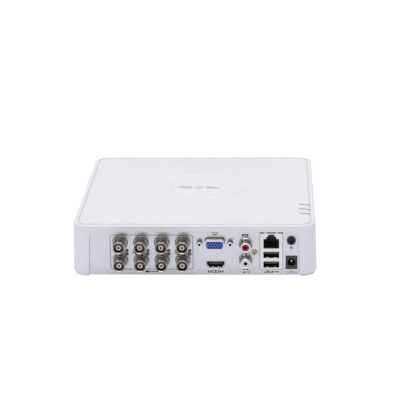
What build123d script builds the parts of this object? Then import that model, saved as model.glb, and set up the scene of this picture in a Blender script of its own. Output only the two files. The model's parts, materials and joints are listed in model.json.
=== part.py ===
from build123d import *
import os
from math import atan2, degrees, radians, tan

# An eight-channel video recorder in a white plastic case, in millimetres.
#
# Frame: the origin is the centre of the tray's flat underside, +Z is up, and the connector
# panel faces -Y. The rubber feet reach below Z = 0. Connectors are drawn lying on the panel:
# their own x is the row's +X, their own y is the row's +Z, and their own z points out of the
# panel, with zero on its outer face.

# ---------------------------------------------------------------- driving dimensions
# case
case_width = 200.0
case_depth = 200.0
corner_radius = 12.4
rim_top = 43.6  # height of the flat rim round the top
crown_rise = 1.6  # the top climbs this much from the rim to the dish
side_draft = 1.8  # degrees that every side wall leans in
wall = 2.2
edge_round = 1.3
groove_inset = 4.0
groove_width = 1.1
groove_depth = 0.7
seam_height = 3.1  # the tray ends here and the cover begins
seam_gap = 0.35
tray_inset = 1.2
floor_thickness = 2.2
slip = 0.1  # clearance between parts that slide together

# round dish and badge in the middle of the top
dish_radius = 40.0
dish_floor_radius = 37.1
dish_depth = 0.45
badge_radius = 23.2
badge_thickness = 1.2
badge_recess = 0.9

# light slots in the top, near one side
slot_count = 3
slot_first_y = -43.6
slot_pitch = 11.8
slot_inner_x = 85.7
slot_width = 1.8
slot_slant = 7.0  # degrees

# connector panel
panel_thickness = 1.0
panel_setback = 1.8  # from the case's widest line to the panel's outer face
panel_bottom = 1.0
panel_top = 38.1
panel_half_width_top = 84.6
panel_half_width_bottom = 86.2
panel_corner = 5.0
panel_foot = 12.0
panel_gap = 0.12

# connectors: where they sit on the panel, as (X, Z)
bnc_columns = (-60.2, -43.1, -26.0, -9.0)
bnc_rows = (29.0, 13.6)
vga_at = (17.1, 28.95)
hdmi_at = (17.5, 10.3)
rca_x = 42.0
rca_rows = (27.6, 14.0)
port_at_x = 62.8
dc_at = (79.2, 12.1)
ground_at = (79.0, 31.0)
connector_screws_at = ((-47.6, 21.1), (-13.4, 21.1), (49.2, 20.8))

# mainboard and drive
board_top = 6.3
board_thickness = 1.6
drive_length = 147.0
drive_width = 101.6
drive_height = 26.1
drive_bottom = 4.4
drive_centre_y = 42.2

# ---------------------------------------------------------------- derived places
panel_y = -(case_depth / 2 - panel_setback)
panel_back_y = panel_y + panel_thickness
board_bottom = board_top - board_thickness
cover_bottom = seam_height + seam_gap
draft_per_mm = tan(radians(side_draft))
top_inset = (rim_top - cover_bottom) * draft_per_mm
crown_top = rim_top + crown_rise
skin_underside = rim_top - wall
plateau_width = case_width - 2 * (top_inset + groove_inset + groove_width / 2)
plateau_corner = corner_radius - top_inset - groove_inset - groove_width / 2
slots_y = [slot_first_y - slot_pitch * i for i in range(slot_count)]
slot_outer_x = plateau_width / 2 + groove_width / 2
boss_at = [(x, y) for x in (-90.3, 90.3) for y in (-80.0, 90.3)]
foot_at = [(x, y) for x in (-76.0, 76.0) for y in (-79.0, 84.0)]


# ---------------------------------------------------------------- helpers
def on_panel(x, z, out=0.0):
    """The plane of a connector centred at (x, z), with its z pointing out of the panel."""
    return Plane((x, panel_y - out, z), x_dir=(1, 0, 0), z_dir=(0, -1, 0))


def group(shapes):
    """One compound that keeps every solid separate."""
    return Compound([solid for shape in shapes for solid in shape.solids()])


def block(low, high):
    """A box given by two opposite corners."""
    size = [b - a for a, b in zip(low, high)]
    middle = [(a + b) / 2 for a, b in zip(low, high)]
    return Pos(*middle) * Box(*size)


def rod(radius, bottom, top):
    """A cylinder on the local z axis."""
    return Pos(0, 0, (bottom + top) / 2) * Cylinder(radius, top - bottom)


def turned(*profile):
    """A solid of revolution about local z from (radius, height) points."""
    outline = Polyline(*[(r, 0, z) for r, z in profile], close=True)
    return revolve(make_face(outline), Axis.Z)


def rounded_plate(width, depth, corner, bottom, top, taper=0.0):
    """A rounded rectangle pulled up from one height to another."""
    outline = RectangleRounded(width, depth, corner)
    return extrude(Pos(0, 0, bottom) * outline, top - bottom, taper=taper)


def upper_edges(shape):
    """The edges that lie in the shape's highest plane."""
    return shape.edges().group_by(Axis.Z)[-1]


def lower_edges(shape):
    """The edges that lie in the shape's lowest plane."""
    return shape.edges().group_by(Axis.Z)[0]


def cross_recess(span, width, depth, top):
    """The cutter for a cross-shaped driver recess."""
    arm = Pos(0, 0, top - depth / 2) * Box(span, width, depth)
    return arm + Rot(0, 0, 90) * arm


def pan_screw(head_radius, head_height, shank_radius, length):
    """A pan-head screw: the head stands on z = 0 and the shank goes down."""
    head = fillet(upper_edges(rod(head_radius, 0, head_height)), head_height * 0.55)
    shank = rod(shank_radius, -length, 0)
    recess = cross_recess(head_radius * 1.3, head_radius * 0.36, head_height * 0.7, head_height)
    return head + shank - recess


# ---------------------------------------------------------------- case
cover_boss_radius = 3.6
cover_boss_hole = 16.0
tray_boss_top = 8.0
case_screw_radius = 1.25
case_screw_length = 18.0
rib_offset = 52.0
rib_length = 170.0
rib_width = 1.2
rib_height = 3.0


def panel_outline(gap):
    """The panel opening's outline in X and Z, shrunk by a gap, open-ended towards the floor."""
    lean = (panel_half_width_bottom - panel_half_width_top) / (panel_top - panel_bottom)
    bottom = -10.0
    half_top = panel_half_width_top - gap
    half_bottom = half_top + lean * (panel_top - bottom)
    top = panel_top - gap
    corners = [(-half_bottom, bottom), (half_bottom, bottom), (half_top, top), (-half_top, top)]
    outline = make_face(Polyline(*corners, close=True))
    return fillet(outline.vertices().group_by(Axis.Y)[-1], panel_corner)


def panel_slab(gap, front, back):
    """The panel opening's outline as a slab between two depths along Y."""
    return extrude(Plane.XZ.offset(-back) * panel_outline(gap), back - front)


def crowned_top():
    """The shallow raised top: straight at the groove, round at the dish."""
    base = Pos(0, 0, rim_top) * RectangleRounded(plateau_width, plateau_width, plateau_corner)
    ring = Pos(0, 0, crown_top) * Circle(dish_radius)
    return loft([base.face(), ring.face()], ruled=True)


def light_slot(y, width, end_gap, bottom, top):
    """One bar of the slot row, slanted and ending at the rim groove."""
    length = slot_outer_x - slot_inner_x - 2 * end_gap
    bar = Pos(0, 0, (bottom + top) / 2) * Box(length, width, top - bottom)
    return Pos((slot_outer_x + slot_inner_x) / 2, y, 0) * Rot(0, 0, -slot_slant) * bar


def top_cover():
    shell = rounded_plate(case_width, case_depth, corner_radius, cover_bottom, rim_top, side_draft)
    shell = fillet(upper_edges(shell), edge_round)
    cavity = rounded_plate(
        case_width - 2 * wall,
        case_depth - 2 * wall,
        corner_radius - wall,
        cover_bottom,
        skin_underside,
        side_draft,
    )
    groove_outer = plateau_width + 2 * groove_width
    groove = rounded_plate(
        groove_outer, groove_outer, plateau_corner + groove_width, rim_top - groove_depth, rim_top
    )
    groove -= rounded_plate(
        plateau_width, plateau_width, plateau_corner, rim_top - groove_depth, rim_top
    )
    dish = turned(
        (0, crown_top),
        (dish_radius, crown_top),
        (dish_floor_radius, crown_top - dish_depth),
        (0, crown_top - dish_depth),
    )
    badge_seat = rod(badge_radius + slip, badge_seat_z, crown_top)
    shell = shell - cavity - groove + crowned_top() - dish - badge_seat

    for y in slots_y:
        shell -= light_slot(y, slot_width, 0, skin_underside - 1, crown_top)
    for x, y in boss_at:
        shell += Pos(x, y) * rod(cover_boss_radius, tray_boss_top + slip, skin_underside)
        shell -= Pos(x, y) * rod(case_screw_radius + 0.05, tray_boss_top, tray_boss_top + cover_boss_hole)
    for reach in (-rib_offset, rib_offset):
        rib = Pos(0, reach, skin_underside - rib_height / 2) * Box(rib_length, rib_width, rib_height)
        shell += rib + Rot(0, 0, 90) * rib
    return shell - panel_slab(0, -case_depth / 2 - 1, panel_back_y + 1.5)


# ---------------------------------------------------------------- badge
badge_seat_z = crown_top - dish_depth - badge_recess
badge_top = badge_seat_z + badge_thickness
mark_thickness = 0.12
mark_ring_radius = 4.2
mark_ring_width = 1.1
mark_dot_radius = 1.5
mark_bar_length = 13.2
mark_bar_step = 3.2
mark_bar_height = 1.5
mark_bar_gap = 0.9


def badge_disc():
    """A low disc that sits in the dish."""
    disc = rod(badge_radius, badge_seat_z, badge_top)
    return fillet(upper_edges(disc), 0.35)


def badge_mark():
    """A plain emblem: a lens ring with a dot, and three shortening bars on each side."""
    ring = Circle(mark_ring_radius) - Circle(mark_ring_radius - mark_ring_width)
    shapes = [ring, Circle(mark_dot_radius)]
    for side in (-1, 1):
        for i in range(3):
            length = mark_bar_length - mark_bar_step * i
            x = side * (mark_ring_radius + mark_bar_height + length / 2)
            y = (i - 1) * (mark_bar_height + mark_bar_gap) * side
            shapes.append(Pos(x, y) * RectangleRounded(length, mark_bar_height, mark_bar_height * 0.45))
    return group([extrude(Pos(0, 0, badge_top) * shape, mark_thickness) for shape in shapes])


# ---------------------------------------------------------------- light pipe
light_x = 89.5
light_height = 1.2
light_leg_bottom = board_top + light_height + 0.8
light_plate_width = 7.0
light_plate_thickness = 1.5
light_bar_sink = 0.25  # the bars end this far below the rim


def light_pipe():
    """Three clear bars in the top slots, joined by a plate, each with a leg down to its light."""
    plate_top = skin_underside - 2 * slip
    plate_low = plate_top - light_plate_thickness
    plate_y = (slots_y[0] + slots_y[-1]) / 2
    plate_length = slots_y[0] - slots_y[-1] + 5
    plate_middle = (plate_top + plate_low) / 2
    pipe = Pos(light_x, plate_y, plate_middle) * Box(light_plate_width, plate_length, light_plate_thickness)
    for y in slots_y:
        pipe += light_slot(y, slot_width - 2 * slip, 0.15, plate_low, rim_top - light_bar_sink)
        leg = Cone(1.3, 1.7, plate_top - light_leg_bottom)
        pipe += Pos(light_x, y, (plate_top + light_leg_bottom) / 2) * leg
    return pipe


# ---------------------------------------------------------------- tray, feet and case screws
tray_edge_round = 1.4
lip_gap = 0.25
lip_wall = 1.4
lip_top = 6.8
case_head_radius = 2.7
case_head_height = 1.9
case_head_seat = 3.0
foot_radius = 6.0
foot_recess = 0.8
foot_reach = 1.2
stake_xs = (-60.0, 0.0, 60.0)
stake_y = panel_y + panel_foot - 4.5
board_screw_radius = 1.2
drive_screw_radius = 1.6
drive_head_radius = 2.9
drive_head_seat = 2.4
board_screws_at = [(-76.0, -60.0), (-76.0, -18.0), (8.0, -18.0), (50.0, -40.0), (67.0, -19.0)]
drive_screws_at = [(x, drive_centre_y + y) for x in (-45.0, 50.0) for y in (-47.6, 47.6)]
air_slot_count = 9
air_slot_pitch = 7.0
air_slot_length = 28.0
air_slot_width = 2.4
air_row_offset = 22.0


def base_tray():
    width = case_width - 2 * tray_inset
    depth = case_depth - 2 * tray_inset
    corner = corner_radius - tray_inset
    tray = rounded_plate(width, depth, corner, 0, seam_height)
    tray = fillet(lower_edges(tray), tray_edge_round)
    tray -= rounded_plate(width - 2 * wall, depth - 2 * wall, corner - wall, floor_thickness, seam_height)

    # a lip stands just inside the cover's walls
    lip_width = case_width - 2 * (wall + lip_gap)
    lip_corner = corner_radius - wall - lip_gap
    lip = rounded_plate(lip_width, lip_width, lip_corner, floor_thickness, lip_top, side_draft)
    inner_width = lip_width - 2 * lip_wall
    inner_corner = lip_corner - lip_wall
    lip -= rounded_plate(inner_width, inner_width, inner_corner, floor_thickness, lip_top, side_draft)
    tray += lip

    # the rear edge is open for the panel, whose foot lies in a shallow seat in the floor
    tray -= panel_slab(-0.1, -case_depth / 2, panel_back_y + 3.5)
    seat_half = panel_half_width_bottom - 2
    tray -= block(
        (-seat_half, panel_back_y - 2, panel_bottom),
        (seat_half, panel_y + panel_foot + 0.3, floor_thickness),
    )
    stake = turned((0, 0), (1.4, 0), (1.4, 1.02), (2.4, 1.02), (2.0, 1.7), (0, 1.8))
    for x in stake_xs:
        tray += Pos(x, stake_y, panel_bottom) * stake

    for x, y in boss_at:
        tray += Pos(x, y) * rod(4.2, 0, tray_boss_top)
        tray -= Pos(x, y) * rod(case_screw_radius + 0.4, 0, tray_boss_top)
        tray -= Pos(x, y) * rod(case_head_radius + 0.3, 0, case_head_seat)
    for x, y in board_screws_at:
        tray += Pos(x, y) * rod(3.0, floor_thickness, board_bottom)
        tray -= Pos(x, y) * rod(board_screw_radius + 0.05, 0.6, board_bottom)
    for x, y in drive_screws_at:
        tray += Pos(x, y) * rod(5.0, floor_thickness, drive_bottom)
        tray -= Pos(x, y) * rod(drive_screw_radius + 0.3, 0, drive_bottom)
        tray -= Pos(x, y) * rod(drive_head_radius + 0.3, 0, drive_head_seat)
    for x, y in foot_at:
        tray -= Pos(x, y) * rod(foot_radius + slip, 0, foot_recess)

    # two rows of air slots through the floor, under the drive
    air_slot = extrude(SlotOverall(air_slot_length, air_slot_width, rotation=90), floor_thickness)
    for row_y in (drive_centre_y - air_row_offset, drive_centre_y + air_row_offset):
        for i in range(air_slot_count):
            x = (i - (air_slot_count - 1) / 2) * air_slot_pitch
            tray -= Pos(x, row_y) * air_slot
    return tray


def rubber_feet():
    foot = fillet(lower_edges(rod(foot_radius, -foot_reach, foot_recess)), 0.6)
    return group([Pos(x, y) * foot for x, y in foot_at])


def case_screws():
    """Screws that come up through the tray into the cover's bosses."""
    screw = pan_screw(case_head_radius, case_head_height, case_screw_radius, case_screw_length)
    screw = Rot(180, 0, 0) * screw
    return group([Pos(x, y, case_head_seat) * screw for x, y in boss_at])


# ---------------------------------------------------------------- panel and its screws
bnc_flange_radius = 6.3
rca_ring_radius = 5.65
port_width = 18.1
port_bottom = board_top
port_top = 37.0
port_cut_left = 53.4
port_cut_right = 72.15
port_cut_top = 38.1
dc_width = 9.3
dc_height = 11.3
screw_hole_radius = 1.6
ground_screw_radius = 1.95
hdmi_width = 15.0
hdmi_height = 5.8
vga_width = 16.9
vga_height = 8.2
vga_corner = 2.6
jack_spacing = 24.99
jack_hole_radius = 2.45


def d_outline(width, height, corner, slope=10.0):
    """A D-shaped outline: wide on top, sides leaning in towards the bottom."""
    lean = height * tan(radians(slope))
    half = width / 2
    foot, top = half - lean, height / 2
    corners = [(-foot, -top), (foot, -top), (half, top), (-half, top)]
    outline = make_face(Polyline(*corners, close=True))
    return fillet(outline.vertices(), corner)


def hdmi_outline(grow=0.0):
    """The HDMI outline: a flat rectangle whose lower corners are cut back."""
    half = hdmi_width / 2 + grow
    top = hdmi_height / 2 + grow
    shoulder = -0.4 - grow / 2
    foot = hdmi_width / 2 - 2.1 + grow / 2
    corners = [
        (-half, top),
        (half, top),
        (half, shoulder),
        (half - 0.7, shoulder - 0.5),
        (foot, -top),
        (-foot, -top),
        (-half + 0.7, shoulder - 0.5),
        (-half, shoulder),
    ]
    return make_face(Polyline(*corners, close=True))


def rear_panel():
    face = panel_slab(panel_gap, panel_y, panel_back_y)
    face -= block((-case_width, panel_y - 1, -20), (case_width, panel_back_y + 1, panel_bottom))
    foot_half = panel_half_width_bottom - 2.5
    foot = block(
        (-foot_half, panel_y, panel_bottom),
        (foot_half, panel_y + panel_foot, panel_bottom + panel_thickness),
    )
    panel = face + foot
    bend = panel.edges().filter_by(Axis.X).group_by(Axis.Y)[0].group_by(Axis.Z)[0]
    panel = fillet(bend, 0.8)

    def cut(x, z, outline):
        return on_panel(x, z) * extrude(outline, panel_thickness + 1, both=True)

    for x in bnc_columns:
        for z in bnc_rows:
            panel -= cut(x, z, Circle(bnc_flange_radius + 0.15))
    for x, z in connector_screws_at:
        panel -= cut(x, z, Circle(screw_hole_radius))
    for z in rca_rows:
        panel -= cut(rca_x, z, Circle(rca_ring_radius + 0.15))
    for side in (-1, 1):
        panel -= cut(vga_at[0] + side * jack_spacing / 2, vga_at[1], Circle(jack_hole_radius))
    panel -= cut(*vga_at, d_outline(vga_width + 0.7, vga_height + 0.7, vga_corner))
    panel -= cut(*hdmi_at, hdmi_outline(0.2))
    port_middle = ((port_cut_left + port_cut_right) / 2, (port_bottom - 0.4 + port_cut_top) / 2)
    port_size = (port_cut_right - port_cut_left, port_cut_top - port_bottom + 0.4)
    panel -= cut(*port_middle, Rectangle(*port_size))
    panel -= cut(*dc_at, Rectangle(dc_width + 0.4, dc_height + 0.4))
    panel -= cut(*ground_at, Circle(ground_screw_radius + 0.25))
    for x in stake_xs:
        panel -= Pos(x, stake_y) * rod(1.5, 0, 3)
    return panel


def connector_screws():
    screw = pan_screw(2.3, 1.6, 1.25, 9)
    return group([on_panel(x, z, 0.02) * screw for x, z in connector_screws_at])


def ground_screw():
    return on_panel(*ground_at, 0.02) * pan_screw(3.65, 2.4, ground_screw_radius, 7)


def ground_nut():
    """A round clinch nut fixed behind the panel."""
    nut = rod(4.1, -panel_thickness - 3.0, -panel_thickness)
    return on_panel(*ground_at) * (nut - rod(ground_screw_radius + 0.05, -9, 0))


# ---------------------------------------------------------------- BNC sockets
bnc_reach = 14.7
bnc_bore = 4.05
bnc_sleeve = 4.8
bnc_ridge = 5.25
bnc_neck = 4.35
bnc_ridge_pitch = 1.9
bnc_core = 2.0
bnc_hole = 0.95
bnc_tail = -11.0
housing_front = -(panel_thickness + 0.15)
housing_back = -13.0
bnc_housing_half = 16.8


def bnc_shell():
    """Flange, ridged neck, and the sleeve that a plug's bayonet ring grips."""
    neck_end = bnc_reach - 4.0
    ridges = []
    for i in range(2):
        start = 3.2 + bnc_ridge_pitch * i
        ridges += [
            (bnc_neck, start),
            (bnc_ridge, start + 0.2),
            (bnc_ridge, start + 1.0),
            (bnc_neck, start + 1.2),
        ]
    body = turned(
        (bnc_core + 0.05, bnc_tail),
        (4.6, bnc_tail),
        (4.6, housing_front + 0.02),
        (bnc_flange_radius, housing_front + 0.02),
        (bnc_flange_radius, 1.0),
        (bnc_flange_radius - 0.5, 1.4),
        (bnc_ridge + 0.2, 1.4),
        (bnc_ridge + 0.2, 2.3),
        (bnc_neck, 2.5),
        *ridges,
        (bnc_neck, neck_end),
        (bnc_sleeve, neck_end + 0.15),
        (bnc_sleeve, bnc_reach - 0.25),
        (bnc_sleeve - 0.2, bnc_reach),
        (bnc_bore + 0.45, bnc_reach),
        (bnc_bore, bnc_reach - 0.5),
        (bnc_bore, 6.4),
        (bnc_core + 0.05, 6.4),
    )
    for turn in (90, -90):
        lug = Rot(0, turn, 0) * rod(0.9, bnc_bore + 0.1, 5.5)
        body += Pos(0, 0, bnc_reach - 5.0) * Rot(0, 0, 90) * lug
    return body


def bnc_insulator():
    """A pale core with a blind hole for the centre contact."""
    core = rod(bnc_core, bnc_tail, bnc_reach - 1.3)
    return core - rod(bnc_hole, 6.0, bnc_reach)


def bnc_contact():
    """A tube inside the core that takes a plug's centre pin."""
    return rod(bnc_hole - 0.05, 6.0, bnc_reach - 1.5) - rod(bnc_hole - 0.25, 7.0, bnc_reach)


def at_each_bnc(shape):
    return group([on_panel(x, z) * shape for x in bnc_columns for z in bnc_rows])


def bnc_housings():
    """Two moulded blocks behind the panel, each carrying two columns of sockets."""
    blocks = []
    for left in (0, 2):
        x_middle = (bnc_columns[left] + bnc_columns[left + 1]) / 2
        body = block(
            (x_middle - bnc_housing_half, panel_y - housing_front, board_top + 0.05),
            (x_middle + bnc_housing_half, panel_y - housing_back, panel_top - 1.2),
        )
        for x in bnc_columns[left : left + 2]:
            for z in bnc_rows:
                body -= on_panel(x, z) * rod(4.65, housing_back, 0)
        screw_x, screw_z = connector_screws_at[left // 2]
        body -= on_panel(screw_x, screw_z) * rod(1.3, -10, 0)
        blocks.append(body)
    return group(blocks)


# ---------------------------------------------------------------- RCA sockets
rca_reach = 9.5
rca_barrel = 4.15
rca_bore = 2.95
rca_hole = 1.55


def rca_barrel_shell():
    """Base ring and the polished barrel that a plug's skirt grips."""
    return turned(
        (rca_bore, -9.0),
        (4.0, -9.0),
        (4.0, housing_front + 0.02),
        (rca_ring_radius, housing_front + 0.02),
        (rca_ring_radius, 0.8),
        (rca_ring_radius - 0.3, 1.1),
        (4.9, 1.1),
        (4.9, 2.4),
        (4.6, 2.7),
        (rca_barrel, 2.7),
        (rca_barrel, rca_reach - 0.25),
        (rca_barrel - 0.25, rca_reach),
        (rca_bore + 0.25, rca_reach),
        (rca_bore, rca_reach - 0.25),
    )


def rca_insert():
    """The coloured insulating ring inside the barrel."""
    ring = rod(rca_bore - 0.05, -8.5, rca_reach - 0.35) - rod(rca_hole, 1.0, rca_reach)
    return fillet(upper_edges(ring), 0.2)


def rca_contact():
    return rod(rca_hole - 0.05, 1.0, rca_reach - 1.0) - rod(rca_hole - 0.3, 2.0, rca_reach)


def at_each_rca(shape):
    return group([on_panel(rca_x, z) * shape for z in rca_rows])


def rca_housing():
    body = block(
        (rca_x - 6.4, panel_y - housing_front, board_top + 0.05),
        (52.4, panel_y - housing_back, rca_rows[0] + 7.0),
    )
    for z in rca_rows:
        body -= on_panel(rca_x, z) * rod(4.05, housing_back, 0)
    screw_x, screw_z = connector_screws_at[2]
    return body - on_panel(screw_x, screw_z) * rod(1.3, -10, 0)


# ---------------------------------------------------------------- VGA socket
vga_reach = 6.7
vga_sheet = 0.9
vga_hole_radius = 0.68
vga_flange_back = -(panel_thickness + 0.9)
jack_reach = 5.6
jack_across_flats = 4.1
jack_thread = 1.2
jack_collar = 2.2


def vga_shell():
    """The D-shaped metal shell and its flange behind the panel."""
    outline = d_outline(vga_width, vga_height, vga_corner)
    inner = d_outline(vga_width - 2 * vga_sheet, vga_height - 2 * vga_sheet, vga_corner - vga_sheet)
    tube = extrude(Pos(0, 0, vga_flange_back) * outline, vga_reach - vga_flange_back)
    tube = fillet(upper_edges(tube), 0.3)
    flange = Pos(0, 0, vga_flange_back + 0.4) * Box(30.8, 12.5, 0.8)
    shell = tube + flange - extrude(Pos(0, 0, -5) * inner, 20)
    for side in (-1, 1):
        shell -= Pos(side * jack_spacing / 2, 0) * rod(1.6, -5, 5)
    return on_panel(*vga_at) * shell


def vga_holes():
    """Three rows of five holes; the middle row is shifted by half a pitch."""
    pitch_x, pitch_y = 2.29, 1.9
    places = []
    for row in (-1, 0, 1):
        shift = pitch_x / 4 if row == 0 else -pitch_x / 4
        places += [((i - 2) * pitch_x + shift, row * pitch_y) for i in range(5)]
    return places


def vga_insert():
    """The blue moulding with a hole for every pin."""
    inset = vga_sheet + 0.08
    outline = d_outline(vga_width - 2 * inset, vga_height - 2 * inset, vga_corner - inset)
    front = vga_reach - 0.5
    body = extrude(Pos(0, 0, vga_flange_back) * outline, front - vga_flange_back)
    for x, y in vga_holes():
        body -= Pos(x, y) * rod(vga_hole_radius, -1.0, front)
    return on_panel(*vga_at) * body


def vga_contacts():
    tube = rod(vga_hole_radius - 0.05, -1.0, vga_reach - 0.8)
    tube -= rod(vga_hole_radius - 0.25, 0.5, vga_reach)
    return group([on_panel(*vga_at) * Pos(x, y) * tube for x, y in vga_holes()])


def vga_jack_screws():
    """Hexagonal posts with a threaded hole for the plug's thumb screws."""
    post = extrude(RegularPolygon(jack_across_flats / 2, 6, major_radius=False), jack_reach)
    post = Rot(0, 0, 90) * fillet(upper_edges(post), 0.35)
    post += rod(1.5, -8, 0) + rod(jack_collar, -panel_thickness - 0.08, 0)
    post -= rod(jack_thread, jack_reach - 5.0, jack_reach)
    return group([on_panel(vga_at[0] + side * jack_spacing / 2, vga_at[1]) * post for side in (-1, 1)])


def vga_bracket():
    """The moulded stand that holds the VGA socket above the HDMI socket."""
    back = housing_back
    front = vga_flange_back - 0.05
    x, z = vga_at
    upper = block(
        (x - 15.6, panel_y - front, z - 8.0),
        (x + 15.6, panel_y - back, z + 6.3),
    )
    for side in (-1, 1):
        centre = x + side * 12.6
        upper += block(
            (centre - 3.0, panel_y - front, board_top + 0.05),
            (centre + 3.0, panel_y - back, z),
        )
        upper -= on_panel(x + side * jack_spacing / 2, z) * rod(1.55, -9, 0)
    return upper


# ---------------------------------------------------------------- HDMI socket
hdmi_sheet = 0.4
hdmi_front = -0.3
hdmi_back = -11.0
hdmi_floor = hdmi_back + 0.6
hdmi_tongue_width = 11.2
hdmi_tongue_middle = 0.35
hdmi_tongue_half = 0.65


def hdmi_shell():
    """The folded metal shell, with two springs that bulge into its floor."""
    depth = hdmi_front - hdmi_back
    shell = extrude(Pos(0, 0, hdmi_back) * hdmi_outline(), depth)
    shell -= extrude(Pos(0, 0, hdmi_floor) * hdmi_outline(-hdmi_sheet), depth)
    for x in (-2.1, 2.1):
        spring = Pos(x, -hdmi_height / 2 + hdmi_sheet + 0.1, hdmi_front - 1.7) * Box(1.2, 0.9, 3.0)
        shell += spring
    return on_panel(*hdmi_at) * shell


def hdmi_tongue():
    half = hdmi_tongue_width / 2
    low, high = hdmi_tongue_middle - hdmi_tongue_half, hdmi_tongue_middle + hdmi_tongue_half
    return on_panel(*hdmi_at) * block((-half, low, hdmi_floor), (half, high, hdmi_front - 1.2))


def hdmi_contacts():
    """Contact strips along both faces of the tongue."""
    strips = []
    length = hdmi_front - 1.6 - hdmi_floor
    for face, count in ((1, 10), (-1, 9)):
        y = hdmi_tongue_middle + face * (hdmi_tongue_half + 0.08)
        for i in range(count):
            x = i - (count - 1) / 2
            strips.append(Pos(x, y, hdmi_floor + length / 2) * Box(0.5, 0.14, length))
    return group([on_panel(*hdmi_at) * strip for strip in strips])


# ---------------------------------------------------------------- network and USB stack
port_front = 0.5
port_back = -20.5
port_sheet = 0.35
port_opening = 12.8
lan_floor = 24.1
lan_ceiling = 32.3
lan_step_width = 8.2
lan_step_top = 34.3
lan_latch_width = 5.4
lan_latch_top = 36.0
lan_depth = 13.5
usb_floors = (7.7, 16.0)
usb_height = 5.4
usb_depth = 12.0
usb_tongue_width = 11.0


def port_local_z(z):
    """A height above the tray as a height on the port stack's own centre line."""
    return z - (port_bottom + port_top) / 2


def port_opening_sketch(grow=0.0):
    """The openings for one network plug and two USB plugs."""
    def bar(width, low, high):
        middle = port_local_z((low + high) / 2)
        return Pos(0, middle) * Rectangle(width + 2 * grow, high - low + 2 * grow)

    openings = bar(port_opening, lan_floor, lan_ceiling)
    openings += bar(lan_step_width, lan_floor, lan_step_top)
    openings += bar(lan_latch_width, lan_floor, lan_latch_top)
    for floor in usb_floors:
        openings += bar(port_opening, floor, floor + usb_height)
    return openings


def on_port():
    return on_panel(port_at_x, (port_bottom + port_top) / 2)


def port_shell():
    """The bright metal box around all three ports, with springs in the USB floors."""
    width, height = port_width, port_top - port_bottom
    box = extrude(Pos(0, 0, port_back) * Rectangle(width, height), port_front - port_back)
    box = fillet(box.edges().filter_by(Axis.Z), 0.5)
    hollow = extrude(
        Pos(0, 0, port_back) * Rectangle(width - 2 * port_sheet, height - 2 * port_sheet),
        port_front - port_sheet - port_back,
    )
    shell = box - hollow - extrude(port_opening_sketch(), 3)
    for floor in usb_floors:
        for x in (-3.1, 3.1):
            spring = Pos(x, port_local_z(floor) + 0.05, port_front - 1.2) * Box(1.8, 0.8, 2.2)
            shell += spring
    for x in (-4.6, 4.6):
        shell += Pos(x, height / 2 + 0.25, port_front - 0.9) * Box(2.2, 0.8, 1.2)
    return on_port() * shell


def port_core():
    """The black moulding inside the shell, with a plug space for each port and two USB tongues."""
    gap = port_sheet + 0.08
    width, height = port_width - 2 * gap, port_top - port_bottom - 2 * gap
    front = port_front - port_sheet - 0.05
    core = extrude(Pos(0, 0, port_back) * Rectangle(width, height), front - port_back)
    core -= block(
        (-port_opening / 2, port_local_z(lan_floor), front - lan_depth),
        (port_opening / 2, port_local_z(lan_ceiling), front),
    )
    step_low = port_local_z(lan_ceiling) - 0.1
    core -= block(
        (-lan_step_width / 2, step_low, front - lan_depth),
        (lan_step_width / 2, port_local_z(lan_step_top), front),
    )
    core -= block(
        (-lan_latch_width / 2, step_low, front - lan_depth),
        (lan_latch_width / 2, port_local_z(lan_latch_top), front),
    )
    for floor in usb_floors:
        low = port_local_z(floor) - 0.4
        high = port_local_z(floor + usb_height)
        cavity = block((-port_opening / 2, low, front - usb_depth), (port_opening / 2, high, front))
        tongue = block(
            (-usb_tongue_width / 2, high - 2.35, front - usb_depth),
            (usb_tongue_width / 2, high - 0.75, front - 0.9),
        )
        core = core - cavity + tongue
    return on_port() * core


def lan_contacts():
    """Eight sprung wires that slope up from the floor of the network port."""
    front = port_front - port_sheet - 0.05
    run, rise = 9.0, 2.0
    slope = degrees(atan2(rise, run))
    wires = []
    for i in range(8):
        x = (i - 3.5) * 1.02
        middle = (x, port_local_z(lan_floor) + 0.3 + rise / 2, front - 2.0 - run / 2)
        wires.append(Pos(*middle) * Rot(slope, 0, 0) * Box(0.35, 0.3, run))
    return group([on_port() * wire for wire in wires])


def usb_contacts():
    """Four strips under each USB tongue."""
    front = port_front - port_sheet - 0.05
    strips = []
    for floor in usb_floors:
        y = port_local_z(floor + usb_height) - 2.35 - 0.12
        for x in (-3.5, -1.0, 1.0, 3.5):
            strips.append(Pos(x, y, front - 1.6 - 4.0) * Box(1.0, 0.22, 8.0))
    return group([on_port() * strip for strip in strips])


# ---------------------------------------------------------------- power jack
dc_front = 0.3
dc_bore = 3.1
dc_pin_radius = 1.05
dc_hole_depth = 9.5
dc_pin_setback = 3.5


def dc_jack_body():
    body = Pos(0, 0, (dc_front - 14) / 2) * Box(dc_width, dc_height, dc_front + 14)
    body = fillet(upper_edges(body), 0.3)
    body -= turned(
        (0, dc_front),
        (dc_bore + 0.5, dc_front),
        (dc_bore, dc_front - 0.5),
        (dc_bore, dc_front - dc_hole_depth),
        (0, dc_front - dc_hole_depth),
    )
    body -= block((-1.3, -dc_bore - 1.3, dc_front - dc_hole_depth), (1.3, -dc_bore + 0.5, dc_front - 1.8))
    return on_panel(*dc_at) * body


def dc_jack_pin():
    """The centre pin, with a rounded tip set back from the mouth."""
    tip = dc_front - dc_pin_setback
    pin = rod(dc_pin_radius, dc_front - dc_hole_depth + 0.02, tip)
    return on_panel(*dc_at) * fillet(upper_edges(pin), 0.5)


def dc_jack_spring():
    """The leaf that presses on the side of a plug, in a slot under the hole."""
    leaf = Pos(0, -dc_bore - 0.45, dc_front - 5.6) * Box(2.2, 0.4, 7.4)
    bump = Pos(0, -dc_bore - 0.1, dc_front - 3.6) * Box(2.2, 0.5, 1.6)
    return on_panel(*dc_at) * (leaf + bump)


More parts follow.
